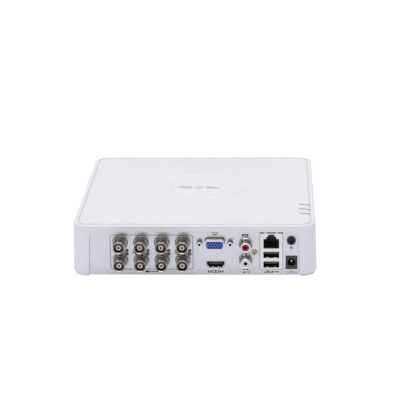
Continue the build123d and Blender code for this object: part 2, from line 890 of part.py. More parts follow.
# ---------------------------------------------------------------- mainboard and its parts
board_left = -80.0
board_right = 94.3
board_notch_x = 86.0
board_back = panel_y + panel_thickness + 1.0
board_front = -13.5
board_notch_y = -74.5


def mainboard():
    """A plate that fills the case behind the panel, notched around one screw boss."""
    corners = [
        (board_left, board_back),
        (board_notch_x, board_back),
        (board_notch_x, board_notch_y),
        (board_right, board_notch_y),
        (board_right, board_front),
        (board_left, board_front),
    ]
    outline = make_face(Polyline(*corners, close=True))
    for x, y in board_screws_at:
        outline -= Pos(x, y) * Circle(1.6)
    return extrude(Pos(0, 0, board_bottom) * outline, board_thickness)


def board_screws():
    screw = pan_screw(2.6, 1.6, board_screw_radius, 5.2)
    return group([Pos(x, y, board_top + 0.02) * screw for x, y in board_screws_at])


def on_board(x, y, width, depth, height, lift=0.02):
    """A low box standing on the board."""
    return Pos(x, y, board_top + lift + height / 2) * Box(width, depth, height)


processor_at = (-8.0, -52.0)
processor_size = 23.0
processor_height = 1.8
sink_size = 38.0
sink_height = 12.0
sink_base = 2.5


def processor():
    return on_board(*processor_at, processor_size, processor_size, processor_height)


def heat_sink():
    """A finned block on the processor."""
    x, y = processor_at
    low = board_top + processor_height + 0.04
    body = block(
        (x - sink_size / 2, y - sink_size / 2, low),
        (x + sink_size / 2, y + sink_size / 2, low + sink_height),
    )
    channel_count = 9
    pitch = sink_size / (channel_count + 0.4)
    for i in range(channel_count):
        channel_x = x + (i - (channel_count - 1) / 2) * pitch
        body -= block(
            (channel_x - 1.35, y - sink_size, low + sink_base),
            (channel_x + 1.35, y + sink_size, low + sink_height + 1),
        )
    return body


def memory_chips():
    return group([on_board(x, -26.0, 13.3, 8.0, 1.1) for x in (-18.0, 0.0)])


def video_chips():
    """The chips that turn the eight camera signals into data."""
    return group([on_board(x, -66.0, 14.0, 14.0, 1.4) for x in (-55.0, -36.0)])


def flash_chip():
    return on_board(24.0, -28.0, 8.0, 6.0, 1.6)


def network_transformer():
    return on_board(60.0, -66.0, 16.0, 11.0, 5.6)


def power_coils():
    """Square power inductors with a round winding window on top."""
    coils = []
    for x, y in ((34.0, -66.0), (34.0, -52.0), (74.0, -50.0)):
        coil = fillet(on_board(x, y, 9.6, 9.6, 4.4).edges().filter_by(Axis.Z), 2.2)
        coils.append(coil)
    return group(coils)


def capacitors():
    """Upright can capacitors."""
    cans = []
    for x, y, radius, height in (
        (72.0, -64.0, 4.0, 11.5),
        (46.0, -62.0, 3.15, 7.7),
        (46.0, -54.0, 3.15, 7.7),
        (-70.0, -50.0, 3.15, 7.7),
        (-70.0, -42.0, 3.15, 7.7),
    ):
        can = rod(radius, board_top + 0.02, board_top + height)
        can = fillet(upper_edges(can), 0.5)
        crimp = turned(
            (radius - 0.35, board_top + 1.7),
            (radius + 1, board_top + 1.2),
            (radius + 1, board_top + 2.2),
        )
        cans.append(Pos(x, y) * (can - crimp))
    return group(cans)


def crystal():
    can = extrude(Pos(0, 0, board_top + 0.02) * SlotOverall(11.0, 4.6), 3.5)
    return Pos(20.0, -44.0) * fillet(upper_edges(can), 0.5)


coin_at = (-56.0, -30.0)
coin_radius = 10.0
coin_height = 3.2


def coin_cell_holder():
    """A moulded ring that holds the clock battery, open on top."""
    outer = rod(coin_radius + 1.6, board_top + 0.02, board_top + 5.0)
    seat = rod(coin_radius + 0.15, board_top + 1.2, board_top + 6)
    window = block((-5, -15, board_top + 2.2), (5, -5, board_top + 6))
    return Pos(*coin_at) * (outer - seat - window)


def coin_cell():
    cell = rod(coin_radius, board_top + 1.22, board_top + 1.22 + coin_height)
    return Pos(*coin_at) * fillet(upper_edges(cell), 0.3)


def status_leds():
    return group([on_board(light_x, y, 2.0, 1.25, light_height) for y in slots_y])


def buzzer():
    """A round sounder with a hole in its lid."""
    can = rod(6.0, board_top + 0.02, board_top + 8.5)
    can = fillet(upper_edges(can), 0.6) - rod(1.2, board_top + 7.3, board_top + 9)
    return Pos(-72.0, -72.0) * can


def chip_parts():
    """Rows of small ceramic parts around the larger chips."""
    parts = []
    for i in range(9):
        parts.append(on_board(-64.0 + 4.5 * i, -78.5, 1.6, 0.8, 0.6))
        parts.append(on_board(-64.0 + 4.5 * i, -55.0, 0.8, 1.6, 0.6))
    for i in range(8):
        parts.append(on_board(-26.0 + 5.0 * i, -34.5, 0.8, 1.6, 0.6))
        parts.append(on_board(16.5, -70.0 + 3.2 * i, 1.6, 0.8, 0.6))
    for i in range(6):
        parts.append(on_board(52.0 + 3.4 * i, -30.0, 2.0, 1.25, 0.9))
    return group(parts)


data_socket_x = 84.2
data_plug_half = 7.0
power_socket_at = (46.0, -19.0)
power_pin_pitch = 2.5


def drive_data_socket():
    """A flat data socket at the board's front edge, its mouth towards the drive."""
    low = board_top + 0.02

    def slab(half, back, front, bottom, top):
        return block(
            (data_socket_x - half, board_front - back, low + bottom),
            (data_socket_x + half, board_front + front, low + top),
        )

    body = slab(data_plug_half + 1, 10, 0, 0, 6.4)
    mouth = slab(data_plug_half - 1.2, 7, 1, 1.4, 5.0)
    tongue = slab(data_plug_half - 1.8, 8, -1, 2.6, 3.8)
    return body - mouth + tongue


def drive_power_socket():
    """A four-pin upright socket for the drive's power lead."""
    x, y = power_socket_at
    body = on_board(x, y, 12.4, 6.0, 7.0)
    body -= Pos(x, y, board_top + 5) * Box(10.6, 4.2, 6.0)
    for i in range(4):
        pin_x = x + (i - 1.5) * power_pin_pitch
        body += Pos(pin_x, y, board_top + 4) * Box(0.64, 0.64, 5.0)
    return body


# ---------------------------------------------------------------- drive
drive_top = drive_bottom + drive_height
drive_left = -drive_length / 2
drive_chamber_floor = drive_bottom + 11.0
lid_thickness = 1.2
drive_board_thickness = 1.2


def drive_casting():
    """The cast base: pocketed below for its circuit board, and recessed on top for the lid."""
    body = Pos(0, drive_centre_y) * rounded_plate(
        drive_length, drive_width, 3.0, drive_bottom, drive_top - lid_thickness
    )
    body = fillet(upper_edges(body), 0.6)
    body -= Pos(0, drive_centre_y) * rounded_plate(
        drive_length - 14, drive_width - 12, 8.0, drive_chamber_floor, drive_top
    )
    middle = (drive_bottom + drive_top) / 2
    body -= block(
        (drive_left + 6, drive_centre_y - 40, drive_bottom),
        (-drive_left - 20, drive_centre_y + 40, drive_bottom + 3.2),
    )
    body -= block(
        (-drive_left - 9, drive_centre_y - 24, drive_bottom),
        (-drive_left + 1, drive_centre_y + 24, drive_bottom + 8.5),
    )
    for side in (-1, 1):
        for x in (-60, 0, 60):
            hole = Rot(90, 0, 0) * rod(1.6, -4, 4)
            body -= Pos(x, drive_centre_y + side * drive_width / 2, middle - 5) * hole
        body -= block(
            (drive_left + 20, drive_centre_y + side * drive_width / 2 - 1.2, middle + 1),
            (-drive_left - 20, drive_centre_y + side * drive_width / 2 + 1.2, drive_top - 5),
        )
    for x, y in drive_screws_at:
        body -= Pos(x, y) * rod(drive_screw_radius + 0.05, drive_bottom, drive_bottom + 5)
    return body


def drive_lid():
    """The pressed lid, with a round boss over the spindle and six small screw wells."""
    low = drive_top - lid_thickness + 0.02
    lid = Pos(0, drive_centre_y) * rounded_plate(drive_length - 4, drive_width - 4, 5.0, low, drive_top)
    pad = Pos(-18, drive_centre_y) * rod(38, drive_top - 0.45, drive_top + 1)
    lid -= pad - Pos(-18, drive_centre_y) * rod(14, drive_top - 1, drive_top + 2)
    for x in (-66, 0, 66):
        for side in (-1, 1):
            lid -= Pos(x, drive_centre_y + side * 44) * rod(2.6, drive_top - 0.6, drive_top + 1)
    return fillet(upper_edges(lid).filter_by(GeomType.LINE), 0.3)


def drive_board():
    low = drive_bottom + 0.9
    return block(
        (drive_left + 8, drive_centre_y - 38, low),
        (-drive_left - 22, drive_centre_y + 38, low + drive_board_thickness),
    )


def drive_connector():
    """Data and power blades side by side at the drive's end."""
    low = drive_bottom + 0.6
    right = -drive_left
    body = block((right - 8.9, drive_centre_y - 21, low), (right - 0.5, drive_centre_y + 21, low + 7.4))
    for y, half in ((drive_centre_y + 12.5, 5.8), (drive_centre_y - 7.5, 10.6)):
        body -= block((right - 6, y - half, low + 2.2), (right + 1, y + half, low + 5.4))
        body += block((right - 7, y - half + 0.8, low + 3.3), (right - 1.0, y + half - 0.8, low + 4.5))
    return body


def drive_screws():
    screw = Rot(180, 0, 0) * pan_screw(drive_head_radius, 1.6, drive_screw_radius, 6.4)
    return group([Pos(x, y, drive_head_seat) * screw for x, y in drive_screws_at])


# ---------------------------------------------------------------- nodes
NODES = {
    "top_cover": top_cover,
    "badge_disc": badge_disc,
    "badge_mark": badge_mark,
    "light_pipe": light_pipe,
    "base_tray": base_tray,
    "rubber_feet": rubber_feet,
    "case_screws": case_screws,
    "rear_panel": rear_panel,
    "connector_screws": connector_screws,
    "ground_screw": ground_screw,
    "ground_nut": ground_nut,
    "bnc_shells": lambda: at_each_bnc(bnc_shell()),
    "bnc_insulators": lambda: at_each_bnc(bnc_insulator()),
    "bnc_contacts": lambda: at_each_bnc(bnc_contact()),
    "bnc_housings": bnc_housings,
    "rca_barrels": lambda: at_each_rca(rca_barrel_shell()),
    "rca_red_insert": lambda: on_panel(rca_x, rca_rows[0]) * rca_insert(),
    "rca_white_insert": lambda: on_panel(rca_x, rca_rows[1]) * rca_insert(),
    "rca_contacts": lambda: at_each_rca(rca_contact()),
    "rca_housing": rca_housing,
    "vga_shell": vga_shell,
    "vga_insert": vga_insert,
    "vga_contacts": vga_contacts,
    "vga_jack_screws": vga_jack_screws,
    "vga_bracket": vga_bracket,
    "hdmi_shell": hdmi_shell,
    "hdmi_tongue": hdmi_tongue,
    "hdmi_contacts": hdmi_contacts,
    "port_shell": port_shell,
    "port_core": port_core,
    "lan_contacts": lan_contacts,
    "usb_contacts": usb_contacts,
    "dc_jack_body": dc_jack_body,
    "dc_jack_pin": dc_jack_pin,
    "dc_jack_spring": dc_jack_spring,
    "mainboard": mainboard,
    "board_screws": board_screws,
    "processor": processor,
    "heat_sink": heat_sink,
    "memory_chips": memory_chips,
    "video_chips": video_chips,
    "flash_chip": flash_chip,
    "network_transformer": network_transformer,
    "power_coils": power_coils,
    "capacitors": capacitors,
    "crystal": crystal,
    "coin_cell_holder": coin_cell_holder,
    "coin_cell": coin_cell,
    "status_leds": status_leds,
    "buzzer": buzzer,
    "chip_parts": chip_parts,
    "drive_data_socket": drive_data_socket,
    "drive_power_socket": drive_power_socket,
    "drive_casting": drive_casting,
    "drive_lid": drive_lid,
    "drive_board": drive_board,
    "drive_connector": drive_connector,
    "drive_screws": drive_screws,
}

os.makedirs("parts", exist_ok=True)
for name, make in NODES.items():
    export_step(make(), f"parts/{name}.step")
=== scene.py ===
import json
import math

import bmesh
import bpy
from mathutils import Matrix, Vector


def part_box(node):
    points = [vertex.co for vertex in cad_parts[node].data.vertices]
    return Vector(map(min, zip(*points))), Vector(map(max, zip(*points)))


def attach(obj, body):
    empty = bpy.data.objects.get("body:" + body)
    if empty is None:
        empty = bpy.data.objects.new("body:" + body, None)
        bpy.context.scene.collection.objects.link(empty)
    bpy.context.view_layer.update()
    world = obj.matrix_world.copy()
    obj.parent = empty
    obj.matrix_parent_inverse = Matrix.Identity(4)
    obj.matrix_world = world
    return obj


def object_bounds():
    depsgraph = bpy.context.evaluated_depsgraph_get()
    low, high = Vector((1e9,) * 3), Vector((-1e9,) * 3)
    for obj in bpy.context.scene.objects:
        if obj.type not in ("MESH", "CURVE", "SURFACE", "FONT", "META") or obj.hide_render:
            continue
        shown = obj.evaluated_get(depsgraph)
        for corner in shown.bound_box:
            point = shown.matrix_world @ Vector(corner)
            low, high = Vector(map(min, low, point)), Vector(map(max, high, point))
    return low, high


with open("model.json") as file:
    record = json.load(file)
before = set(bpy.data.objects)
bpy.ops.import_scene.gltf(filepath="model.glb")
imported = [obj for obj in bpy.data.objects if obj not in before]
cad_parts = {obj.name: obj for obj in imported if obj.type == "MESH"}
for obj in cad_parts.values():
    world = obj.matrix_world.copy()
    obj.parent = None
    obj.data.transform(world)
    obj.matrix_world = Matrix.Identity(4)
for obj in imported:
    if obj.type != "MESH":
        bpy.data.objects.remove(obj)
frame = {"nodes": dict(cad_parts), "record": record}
cad_low, cad_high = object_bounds()

MM = 0.001
panel_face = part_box("rear_panel")[0].y

EDGE_SAMPLES = 8
HOLLOW_SAMPLES = 12
EDGE_STARTS, EDGE_FULL = 0.995, 0.85  # cosines between the rounded and the flat normal
NOISE_LOW, NOISE_HIGH = 0.25, 0.75  # a noise texture rarely leaves this range
MIX_FROM, MIX_TO, MIX_RESULT = 6, 7, 2  # the colour sockets of Blender's Mix node


# ---------------------------------------------------------------- material builder
class Look:
    """A node material in the making: texture helpers that feed one Principled shader.

    Sizes and distances are in millimetres. Every texture runs on object coordinates, which are
    the CAD frame, so a pattern keeps its scale whatever the piece's shape."""

    def __init__(self, name, colour, roughness, metallic=0.0):
        self.material = bpy.data.materials.new(name)
        self.material.use_nodes = True
        self.tree = self.material.node_tree
        self.shader = self.tree.nodes["Principled BSDF"]
        self.place = self.node("ShaderNodeTexCoord").outputs["Object"]
        self.colour = self.plain_colour(colour)
        self.roughness = self.number(roughness)
        self.normal = None
        self.shader.inputs["Metallic"].default_value = metallic

    def node(self, kind):
        return self.tree.nodes.new(kind)

    def link(self, output, target):
        self.tree.links.new(output, target)

    def plain_colour(self, colour):
        made = self.node("ShaderNodeRGB")
        made.outputs[0].default_value = (*colour[:3], 1.0)
        return made.outputs[0]

    def number(self, value):
        made = self.node("ShaderNodeValue")
        made.outputs[0].default_value = value
        return made.outputs[0]

    def stretched(self, stretch):
        """Object coordinates, squeezed so that a texture is drawn out along an axis."""
        if stretch is None:
            return self.place
        mapping = self.node("ShaderNodeMapping")
        mapping.inputs["Scale"].default_value = stretch
        self.link(self.place, mapping.inputs["Vector"])
        return mapping.outputs["Vector"]

    def noise(self, size, detail=3.0, stretch=None):
        """A cloudy texture with features of about the given size."""
        made = self.node("ShaderNodeTexNoise")
        made.inputs["Scale"].default_value = 1.0 / (size * MM)
        made.inputs["Detail"].default_value = detail
        self.link(self.stretched(stretch), made.inputs["Vector"])
        return made.outputs["Fac"]

    def cells(self, size, output="Color", feature="F1", stretch=None):
        """A texture of irregular cells of about the given size."""
        made = self.node("ShaderNodeTexVoronoi")
        made.feature = feature
        made.inputs["Scale"].default_value = 1.0 / (size * MM)
        self.link(self.stretched(stretch), made.inputs["Vector"])
        return made.outputs[output]

    def fit(self, value, low, high, to_low=0.0, to_high=1.0):
        """A value moved from one range to another, and held inside it."""
        made = self.node("ShaderNodeMapRange")
        self.link(value, made.inputs["Value"])
        made.inputs["From Min"].default_value = low
        made.inputs["From Max"].default_value = high
        made.inputs["To Min"].default_value = to_low
        made.inputs["To Max"].default_value = to_high
        return made.outputs["Result"]

    def times(self, a, b):
        """Two textures multiplied."""
        made = self.node("ShaderNodeMath")
        made.operation = "MULTIPLY"
        self.link(a, made.inputs[0])
        self.link(b, made.inputs[1])
        return made.outputs[0]

    def tint(self, amount, colour):
        """Moves the colour towards another by an amount texture."""
        made = self.node("ShaderNodeMix")
        made.data_type = "RGBA"
        self.link(amount, made.inputs["Factor"])
        self.link(self.colour, made.inputs[MIX_FROM])
        made.inputs[MIX_TO].default_value = (*colour[:3], 1.0)
        self.colour = made.outputs[MIX_RESULT]

    def mottle(self, colour, size, start, full, amount=1.0, detail=3.0):
        """Tints patches of a noise: none where it is below start, the full amount above full."""
        self.tint(self.fit(self.noise(size, detail), start, full, 0.0, amount), colour)

    def wear(self, edges, colour, size, start, full, least, most):
        """Tints the edges, more in some places than in others: painted light on the edges, in
        worn-looking patches.
        """
        patches = self.fit(self.noise(size), start, full, least, most)
        self.tint(self.times(edges, patches), colour)

    def shine(self, value, low, high):
        """Adds a texture, as an offset from low to high, to the roughness."""
        made = self.node("ShaderNodeMath")
        made.operation = "ADD"
        made.use_clamp = True
        self.link(self.roughness, made.inputs[0])
        self.link(self.fit(value, NOISE_LOW, NOISE_HIGH, low, high), made.inputs[1])
        self.roughness = made.outputs[0]

    def relief(self, height, depth):
        """Raises the surface by a height texture."""
        made = self.node("ShaderNodeBump")
        made.inputs["Distance"].default_value = depth * MM
        self.link(height, made.inputs["Height"])
        if self.normal:
            self.link(self.normal, made.inputs["Normal"])
        self.normal = made.outputs["Normal"]

    def behind_panel(self, start, end):
        """A mask that rises from 0 to 1 between two distances behind the panel's face.

        A negative distance lies in front of that face."""
        split = self.node("ShaderNodeSeparateXYZ")
        self.link(self.place, split.inputs["Vector"])
        return self.fit(split.outputs["Y"], panel_face + start * MM, panel_face + end * MM)

    def collar(self, start, end, fade=0.35):
        """A mask that is 1 between two distances in front of the panel's face."""
        rise = self.behind_panel(fade - start, -start)
        fall = self.behind_panel(-end - fade, -end)
        return self.times(rise, fall)

    def cavities(self, reach, amount, colour, open_at=0.75, shut_at=0.25, mask=None):
        """Darkens hollows and deep corners with painted shade."""
        made = self.node("ShaderNodeAmbientOcclusion")
        made.samples = HOLLOW_SAMPLES
        made.inputs["Distance"].default_value = reach * MM
        shade_there = self.fit(made.outputs["AO"], open_at, shut_at, 0.0, amount)
        if mask:
            shade_there = self.times(shade_there, mask)
        self.tint(shade_there, colour)

    def soft_edges(self, radius, rounded=True):
        """Returns a mask that is 1 on edges, and rounds them in shading if asked."""
        bevel = self.node("ShaderNodeBevel")
        bevel.samples = EDGE_SAMPLES
        bevel.inputs["Radius"].default_value = radius * MM
        if rounded:
            self.normal = bevel.outputs["Normal"]
        flat = self.node("ShaderNodeNewGeometry").outputs["Normal"]
        dot = self.node("ShaderNodeVectorMath")
        dot.operation = "DOT_PRODUCT"
        self.link(bevel.outputs["Normal"], dot.inputs[0])
        self.link(flat, dot.inputs[1])
        return self.fit(dot.outputs["Value"], EDGE_STARTS, EDGE_FULL)

    def set(self, **inputs):
        """Sets plain inputs of the shader, such as Coat_Weight=0.2."""
        for name, value in inputs.items():
            self.shader.inputs[name.replace("_", " ")].default_value = value
        return self

    def done(self):
        """Links the colour, roughness and normal to the shader, and returns the material."""
        self.link(self.colour, self.shader.inputs["Base Color"])
        self.link(self.roughness, self.shader.inputs["Roughness"])
        if self.normal:
            self.link(self.normal, self.shader.inputs["Normal"])
        return self.material


def shade(colour, factor):
    """A colour made lighter or darker, held inside what a colour can be."""
    return tuple(min(1.0, channel * factor) for channel in colour)


# ---------------------------------------------------------------- materials
# Painted shade: its colour in plastic hollows, and how dark the rings of painted shade on metal are.
PAINTED_SHADE_LILAC = (0.52, 0.50, 0.62)
RING_SHADE_STRENGTH = 0.85


def moulded(name, colour, roughness, grain=0.35, depth=0.012, edge=0.3, coat=0.0, hollow_shade=0.0):
    """Injection-moulded plastic: a fine spark-eroded grain, faint flow tone, smoother edges with a
    painted highlight, and painted shade in hollows where asked.
    """
    look = Look(name, colour, roughness)
    edges = look.soft_edges(edge)
    look.mottle(shade(colour, 0.965), size=60.0, start=0.35, full=0.7, amount=0.6, detail=2.0)
    look.mottle(shade(colour, 0.93), size=grain * 2, start=0.45, full=0.75, amount=0.35, detail=2.0)
    # Painted highlight on the edges, in patches that also stand for worn edges.
    look.wear(edges, shade(colour, 1.12), size=3.0, start=0.4, full=0.6, least=0.1, most=0.5)
    # Painted shade in hollows and seams.
    if hollow_shade:
        look.cavities(1.8, hollow_shade, PAINTED_SHADE_LILAC)
    look.shine(look.noise(18.0), -0.04, 0.05)
    look.shine(look.noise(grain), -0.03, 0.03)
    look.relief(look.noise(grain, detail=4.0), depth)
    return look.set(Coat_Weight=coat, Coat_Roughness=0.25).done()


def plated(
    name, colour, roughness, dull,
    edge=0.12, hollow_shade=0.9, reach=3.0, deep=0.2, bright=1.3, shade_rings=(), mouth=None,
):
    """Plate over turned or drawn metal: cloudy tarnish, fine tool marks, edges of another tone
    (a painted highlight, painted shade where bright is below 1), and painted shade in hollows.

    Shade rings are rings of painted shade, each between two distances in front of the panel's face.
    A mouth is the distance behind that face from which the painted shade in hollows starts."""
    look = Look(name, colour, roughness, metallic=1.0)
    edges = look.soft_edges(edge, rounded=False)
    look.mottle(dull, size=6.0, start=0.4, full=0.75, amount=0.22)
    # Painted highlight on the edges (painted shade where bright is below 1), in worn-looking patches.
    look.wear(edges, shade(colour, bright), size=1.5, start=0.3, full=0.6, least=0.3, most=1.0)
    # Painted shade in hollows, only behind the mouth when one is given.
    inside = None if mouth is None else look.behind_panel(mouth, mouth + 0.5)
    look.cavities(reach, hollow_shade, shade(dull, deep), open_at=0.92, shut_at=0.4, mask=inside)
    # Rings of painted shade round the metal, at set distances in front of the panel's face.
    for start, end in shade_rings:
        ring = look.times(look.collar(start, end), look.number(RING_SHADE_STRENGTH))
        look.tint(ring, shade(dull, 0.25))
    look.shine(look.noise(2.4), -0.03, 0.05)
    look.relief(look.noise(0.35, detail=2.0, stretch=(0.15, 1.0, 0.15)), 0.0002)
    return look.done()


def sheet_steel():
    """Zinc-coated sheet: small crystals that each reflect a little differently, and a painted
    highlight on the edges.
    """
    colour = (0.665, 0.68, 0.69)
    look = Look("zinc_sheet", colour, 0.27, metallic=0.85)
    edges = look.soft_edges(0.2, rounded=False)
    crystal = look.cells(2.4)
    look.tint(look.fit(crystal, 0.0, 1.0, 0.0, 0.2), shade(colour, 0.93))
    look.tint(look.fit(look.cells(0.8), 0.55, 1.0, 0.0, 0.05), shade(colour, 1.05))
    look.mottle(shade(colour, 0.95), size=9.0, start=0.4, full=0.7, amount=0.4, detail=4.0)
    # Painted highlight on the edges.
    look.tint(edges, shade(colour, 1.15))
    look.shine(crystal, -0.015, 0.015)
    look.relief(look.noise(0.5), 0.0004)
    return look.done()


def drawn_steel(name, colour, roughness, direction):
    """Sheet or plated steel with brush marks along one axis, and a painted highlight on the edges."""
    look = Look(name, colour, roughness, metallic=0.9)
    edges = look.soft_edges(0.15, rounded=False)
    marks = look.noise(0.25, detail=4.0, stretch=direction)
    look.tint(look.fit(marks, 0.35, 0.75, 0.0, 0.5), shade(colour, 0.84))
    look.mottle(shade(colour, 0.9), size=7.0, start=0.45, full=0.7, amount=0.4)
    # Painted highlight on the edges.
    look.tint(edges, shade(colour, 1.2))
    look.shine(marks, -0.08, 0.08)
    look.relief(marks, 0.006)
    return look.done()


def rubber():
    """Matt black rubber with a greyish bloom."""
    look = Look("foot_rubber", (0.045, 0.045, 0.048), 0.82)
    look.soft_edges(0.4)
    look.mottle((0.10, 0.10, 0.098), size=2.5, start=0.5, full=0.75, detail=4.0)
    look.shine(look.noise(0.9), -0.08, 0.08)
    look.relief(look.noise(0.4, detail=4.0), 0.04)
    return look.done()


def solder_mask():
    """Green board: darker bare laminate, copper tracks under the mask, tinned dots."""
    from_above = (1.0, 1.0, 0.0)
    look = Look("circuit_green", (0.012, 0.125, 0.045), 0.32)
    tracks = look.cells(2.4, "Distance", "DISTANCE_TO_EDGE", stretch=from_above)
    look.tint(look.fit(tracks, 0.055, 0.04), (0.03, 0.24, 0.09))
    pads = look.cells(3.1, "Distance", stretch=from_above)
    look.tint(look.fit(pads, 0.14, 0.12), (0.62, 0.62, 0.60))
    look.mottle((0.008, 0.09, 0.04), size=25.0, start=0.4, full=0.7, amount=0.35, detail=2.0)
    look.shine(look.noise(4.0), -0.05, 0.06)
    look.relief(look.fit(tracks, 0.06, 0.04), 0.03)
    return look.set(Coat_Weight=0.35, Coat_Roughness=0.12).done()


def epoxy(name="chip_black", colour=(0.022, 0.022, 0.024)):
    """Moulded chip body: matt with a grey sheen of filler, a painted highlight on the edges and
    painted shade in hollows.
    """
    look = Look(name, colour, 0.55)
    edges = look.soft_edges(0.1)
    look.mottle((0.06, 0.06, 0.062), size=0.3, start=0.5, full=0.8, amount=0.6)
    # Painted highlight on the edges.
    look.tint(edges, (0.09, 0.09, 0.09))
    # Painted shade in hollows.
    look.cavities(2.0, 0.9, (0.004, 0.004, 0.004))
    look.shine(look.noise(3.0), -0.08, 0.08)
    look.relief(look.noise(0.2), 0.01)
    return look.done()


def casting():
    """Blasted aluminium casting, with a painted highlight on the edges."""
    colour = (0.42, 0.43, 0.445)
    look = Look("drive_cast", colour, 0.5, metallic=0.85)
    edges = look.soft_edges(0.4)
    look.mottle(shade(colour, 0.78), size=1.2, start=0.4, full=0.7, amount=0.6, detail=5.0)
    # Painted highlight on the edges.
    look.tint(edges, shade(colour, 1.35))
    look.shine(look.noise(6.0), -0.06, 0.1)
    look.relief(look.noise(0.45, detail=5.0), 0.05)
    return look.done()


def fired(name, colour, fleck):
    """Small pressed or fired parts with a coarse fleck, and a painted highlight on the edges."""
    look = Look(name, colour, 0.5)
    edges = look.soft_edges(0.1)
    look.tint(look.fit(look.cells(0.35, "Distance"), 0.25, 0.6, 0.0, 0.5), fleck)
    # Painted highlight on the edges.
    look.tint(edges, shade(colour, 1.4))
    look.shine(look.noise(1.5), -0.1, 0.1)
    look.relief(look.noise(0.25), 0.015)
    return look.done()


def smoky():
    """Light bars: a greyish translucent plastic."""
    colour = (0.12, 0.113, 0.14)
    look = Look("smoke_clear", colour, 0.25)
    look.soft_edges(0.1)
    look.mottle(shade(colour, 0.8), size=2.0, start=0.35, full=0.7, amount=0.5)
    look.shine(look.noise(1.0), -0.05, 0.1)
    look.relief(look.noise(0.6, detail=2.0), 0.006)
    return look.set(Transmission_Weight=0.25, IOR=1.49).done()


# Stretches for marks that run along one axis.
ALONG_X = (0.06, 1.0, 1.0)
ALONG_Z = (1.0, 1.0, 0.06)
tin = (0.86, 0.81, 0.745)
looks = {
    # The plastic case and tray carry painted shade in their hollows and seams.
    "case_white": moulded("case_white", (0.845, 0.838, 0.862), 0.42, coat=0.05, hollow_shade=0.55),
    "tray_white": moulded("tray_white", (0.80, 0.79, 0.85), 0.46, hollow_shade=0.55),
    "badge_white": moulded(
        "badge_white", (0.93, 0.925, 0.94), 0.26, depth=0.003, edge=0.12, coat=0.3,
    ),
    "mark_grey": moulded("mark_grey", (0.58, 0.58, 0.61), 0.35, edge=0.05),
    "smoke_clear": smoky(),
    "foot_rubber": rubber(),
    "zinc_sheet": sheet_steel(),
    "screw_zinc": plated("screw_zinc", (0.62, 0.52, 0.38), 0.25, (0.30, 0.24, 0.17), reach=1.5),
    "screw_black": plated("screw_black", (0.05, 0.048, 0.053), 0.28, (0.03, 0.03, 0.034)),
    # Nickel: edges darkened as painted shade, light painted shade in hollows, and rings of painted
    # shade along the barrels.
    "nickel": plated(
        "nickel", (0.54, 0.49, 0.44), 0.2, (0.33, 0.29, 0.25), hollow_shade=0.2, bright=0.75,
        shade_rings=((2.3, 3.2), (6.2, 7.0), (9.9, 10.8)),
    ),
    "cream_insulator": moulded("cream_insulator", (0.70, 0.63, 0.575), 0.4, edge=0.1),
    # The gold is darkened to near black as painted shade deep in the socket holes, with more painted
    # shade in hollows.
    "gold_contact": plated(
        "gold_contact", (0.11, 0.075, 0.035), 0.35, (0.06, 0.04, 0.02), hollow_shade=0.97,
    ),
    "housing_black": moulded("housing_black", (0.075, 0.068, 0.074), 0.5, grain=0.25),
    "rca_red": moulded("rca_red", (0.41, 0.023, 0.036), 0.35, edge=0.1),
    "rca_white": moulded("rca_white", (0.84, 0.82, 0.79), 0.32, edge=0.1),
    "vga_blue": moulded("vga_blue", (0.055, 0.13, 0.56), 0.4, edge=0.1),
    # Bright tin: a ring of painted shade where the shells meet the panel.
    "bright_tin": plated("bright_tin", tin, 0.3, shade(tin, 0.84), reach=4.5, shade_rings=((-1.0, 2.0),)),
    # Port tin is a shaded copy of the tin: a little darker, with nearly black painted shade inside the
    # shells behind the panel's face.
    "port_tin": plated(
        "port_tin", shade(tin, 0.93), 0.32, shade(tin, 0.82),
        hollow_shade=0.98, reach=16.0, deep=0.03, mouth=-0.3,
    ),
    # Chrome: rings of painted shade along its barrels.
    "chrome": plated(
        "chrome", (0.80, 0.79, 0.77), 0.12, (0.50, 0.48, 0.46), shade_rings=((2.3, 3.3), (6.6, 7.8)),
    ),
    "jack_black": moulded("jack_black", (0.03, 0.028, 0.033), 0.35, grain=0.2, depth=0.004),
    "circuit_green": solder_mask(),
    "chip_black": epoxy(),
    "sink_aluminium": drawn_steel("sink_aluminium", (0.10, 0.105, 0.115), 0.45, ALONG_Z),
    "can_aluminium": drawn_steel("can_aluminium", (0.70, 0.70, 0.73), 0.3, ALONG_X),
    "ceramic_parts": fired("ceramic_parts", (0.42, 0.33, 0.24), (0.60, 0.58, 0.55)),
    "coil_ferrite": fired("coil_ferrite", (0.06, 0.06, 0.065), (0.13, 0.13, 0.13)),
    "cell_steel": drawn_steel("cell_steel", (0.66, 0.66, 0.67), 0.3, ALONG_X),
    "lamp_clear": moulded("lamp_clear", (0.75, 0.75, 0.68), 0.2, edge=0.1, depth=0.002),
    "socket_black": moulded("socket_black", (0.03, 0.03, 0.033), 0.45, edge=0.15),
    "socket_white": moulded("socket_white", (0.75, 0.73, 0.66), 0.45, edge=0.15),
    "drive_cast": casting(),
    "drive_cover": drawn_steel("drive_cover", (0.62, 0.63, 0.65), 0.33, ALONG_X),
}


def dress_cad_nodes():
    """Gives every CAD node the look of its material slot."""
    for entry in frame["record"]["subparts"]:
        node = frame["nodes"][entry["node"]]
        node.data.materials.clear()
        node.data.materials.append(looks[entry["material_slot"]])
        node.data.polygons.foreach_set("material_index", [0] * len(node.data.polygons))


dress_cad_nodes()


# ---------------------------------------------------------------- printed marks on the panel
# Outlines are lists of (x, z) points in millimetres on the panel's face.
PRINT_LIFT = 0.03 * MM
INVERSE_LIFT = 2.2  # light marks lie this many lifts out, over the dark shape behind them
print_dark = epoxy("print_dark", (0.03, 0.03, 0.035))
print_grey = epoxy("print_grey", (0.20, 0.20, 0.22))
print_light = moulded("print_light", (0.80, 0.80, 0.80), 0.5, edge=0.05)


def box_mm(node):
    """A node's lowest and highest corners, in millimetres."""
    low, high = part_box(node)
    return low / MM, high / MM


